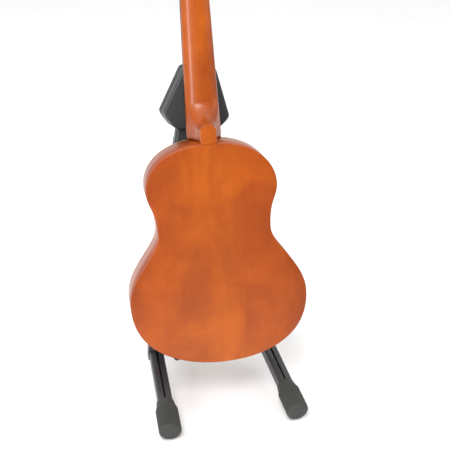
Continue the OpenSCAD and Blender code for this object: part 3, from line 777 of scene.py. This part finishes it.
def knee(name, flip, body, replaced):
    """The moulded elbow between the upright and the front leg."""
    work = bmesh.new()
    on_upright = (-12.2, 12.2, -10.4, 10.4, 350, 374)
    on_leg = (-12.2, 12.2, -11.2, 11.2, -3, 10)
    for place, box in ((UPRIGHT, on_upright), (FRONT_LEG, on_leg)):
        for v in block(*box)[0]:
            work.verts.new(flip @ (place @ (Vector(v) * MM)))
    hull = bmesh.ops.convex_hull(work, input=work.verts)
    loose = [g for g in hull["geom_interior"] if isinstance(g, bmesh.types.BMVert)]
    bmesh.ops.delete(work, geom=loose, context="VERTS")
    bmesh.ops.dissolve_limit(work, angle_limit=math.radians(3), verts=work.verts, edges=work.edges)
    mesh = bpy.data.meshes.new(name)
    work.to_mesh(mesh)
    work.free()
    obj = bpy.data.objects.new(name, mesh)
    bpy.context.scene.collection.objects.link(obj)
    dress(obj, BLACK, body, replaced, 30)
    return bevelled(obj, 2.2, 4, 20)


def foam(name, flip, body, replaced):
    """A foam sleeve with a closed round end and a soft, uneven surface."""
    rings = []
    random = np.random.default_rng(7)
    rows, around = 30, 40
    wobble = random.normal(0, 0.05, (rows, around))
    profile = [(24.0, 4.4), (24.2, 5.3), (25.0, 5.85)]
    profile += [(s, 5.95) for s in np.linspace(27, 64, 20)]
    profile += [(65.4, 5.8), (66.8, 5.1), (67.6, 3.8), (67.95, 2.0), (68.0, 0.4)]
    for k, (s, r) in enumerate(profile):
        ring = []
        for j in range(around):
            a = 2 * math.pi * j / around
            uneven = wobble[k % rows, j] if 2 < k < len(profile) - 2 else 0
            rr = r + uneven - 0.05
            ring.append((rr * math.cos(a), -s, rr * math.sin(a)))
        rings.append(ring)
    verts, faces = loft(rings)
    obj = piece(name, verts, faces, flip @ ARM, FOAM, body, replaced, 60)
    return obj


# ---------------------------------------------------------------- build everything

back_plate()
rib(1)
rib(-1)
soundboard()
rosette()
neck()
heel_cap()
peghead()
shell("head_front_shell_smooth", -20.0, 0.0, -16.5)
shell("head_rear_shell_smooth", 21.0, 0.0, 17.5)
head_pad()
for side, flip in SIDES:
    body = f"{side}_side"
    upright, leg = flip @ UPRIGHT, flip @ FRONT_LEG
    eye = [block(-9, 9, -7, 7, 0, 40), drum(9, -7, 7)]
    name = f"{side}_upright"
    channel_piece(f"{name}_smooth", channel(22, 18), 16, 372, upright, body, eye, [name])
    name = f"{side}_front_leg"
    channel_piece(f"{name}_smooth", channel(22, 20), 6, LEG_LENGTH - 6, leg, body, [], [name])
    ribbed_foot(f"{side}_front_foot_smooth", leg, body, [f"{side}_front_foot"])
    knee(f"{side}_knee_block_smooth", flip, body, [f"{side}_knee_block"])
    foam(f"{side}_foam_smooth", flip, f"{side}_cradle", [f"{side}_foam"])

# the CAD nodes that stay on show get their slot's material and softened edges
slots = {s["node"]: s["material_slot"] for s in frame["record"]["subparts"]}
ROUND = {
    "tuner_knob": 0.8,
    "string_roller": 0.2,
    "tuner_plates": 0.25,
    "bridge": 0.6,
    "nut": 0.4,
    "saddle": 0.4,
    "fingerboard": 0.4,
    "rear_foot": 0.8,
    "brace": 0.4,
    "bolts": 0.3,
    "cradle_arm": 0.5,
    "rear_leg": 0.25,
    "lock_button": 0.5,
}
for name, node in nodes.items():
    if node.hide_render:
        continue
    node.data.materials.clear()
    node.data.materials.append(BY_SLOT[slots[name]])
    for key, width in ROUND.items():
        if key in name:
            edges = node.modifiers.new("edges", "BEVEL")
            edges.width = width * MM
            edges.segments = 3
            edges.limit_method = "ANGLE"
            edges.angle_limit = math.radians(40)
            edges.harden_normals = False

# ---------------------------------------------------------------- floor, light, camera


def stage_material(name, colour, roughness):
    material, tree, shader = new_material(name)
    soft = noise(tree, coordinates(tree, (1, 1, 1)), 3.0, 2.0)
    shade = ramp(tree, soft, [(0.3, tuple(c * 0.985 for c in colour)), (0.7, colour)])
    tree.links.new(shade, shader.inputs["Base Color"])
    shader.inputs["Roughness"].default_value = roughness
    return material


floor_mesh = bpy.data.meshes.new("floor")
floor_mesh.from_pydata([(-9, -9, 0), (9, -9, 0), (9, 9, 0), (-9, 9, 0)], [], [(0, 1, 2, 3)])
floor = bpy.data.objects.new("floor", floor_mesh)
floor.location.z = -0.0002
bpy.context.scene.collection.objects.link(floor)
floor_mesh.materials.append(stage_material("floor", (0.93, 0.93, 0.93), 0.9))

# a pale room, darker behind the camera so that the finish isn't washed out
world = bpy.data.worlds.new("studio")
bpy.context.scene.world = world
world.use_nodes = True
sky = world.node_tree
direction = sky.nodes.new("ShaderNodeTexCoord")
split = sky.nodes.new("ShaderNodeSeparateXYZ")
sky.links.new(direction.outputs["Generated"], split.inputs[0])
strength = sky.nodes.new("ShaderNodeMapRange")
strength.inputs["From Min"].default_value = -0.9
strength.inputs["From Max"].default_value = 0.1
strength.inputs["To Min"].default_value = 0.22
strength.inputs["To Max"].default_value = 0.75
sky.links.new(split.outputs["Y"], strength.inputs["Value"])
sky.nodes["Background"].inputs[0].default_value = (1.0, 1.0, 1.0, 1)
sky.links.new(strength.outputs[0], sky.nodes["Background"].inputs[1])


def area_light(name, place, target, width, height, power):
    data = bpy.data.lights.new(name, "AREA")
    data.shape = "RECTANGLE"
    data.size = width
    data.size_y = height
    data.energy = power
    light = bpy.data.objects.new(name, data)
    light.location = place
    light.rotation_euler = (Vector(target) - Vector(place)).to_track_quat("-Z", "Y").to_euler()
    bpy.context.scene.collection.objects.link(light)


area_light("key", (-0.7, -1.5, 2.2), (0, 0, 0.5), 1.0, 1.0, 44)
area_light("strip", (-1.6, -1.35, 0.9), (0, 0, 0.6), 0.3, 1.4, 26)
area_light("side", (2.0, -0.9, 1.5), (0, 0, 0.3), 1.0, 1.6, 9)
area_light("top", (0.1, 0.4, 3.2), (0, 0, 0), 4.0, 4.0, 60)

CAMERA_PLACE = (-0.36737, -1.43667, 1.02945)
AZIMUTH, ELEVATION, TILT = (math.radians(a) for a in (15.243, 27.126, -0.533))
ahead = math.cos(ELEVATION)
forward = Vector((math.sin(AZIMUTH) * ahead, math.cos(AZIMUTH) * ahead, -math.sin(ELEVATION)))
level = Vector((math.cos(AZIMUTH), -math.sin(AZIMUTH), 0))
over = level.cross(forward)
right = math.cos(TILT) * level - math.sin(TILT) * over
above = math.sin(TILT) * level + math.cos(TILT) * over
camera_data = bpy.data.cameras.new("camera")
camera_data.sensor_width = 36
camera_data.lens = 88.07
camera = bpy.data.objects.new("camera", camera_data)
camera.matrix_world = Matrix(
    (
        (right.x, above.x, -forward.x, CAMERA_PLACE[0]),
        (right.y, above.y, -forward.y, CAMERA_PLACE[1]),
        (right.z, above.z, -forward.z, CAMERA_PLACE[2]),
        (0, 0, 0, 1),
    )
)
bpy.context.scene.collection.objects.link(camera)
bpy.context.scene.camera = camera
bpy.context.scene.view_settings.view_transform = "Standard"
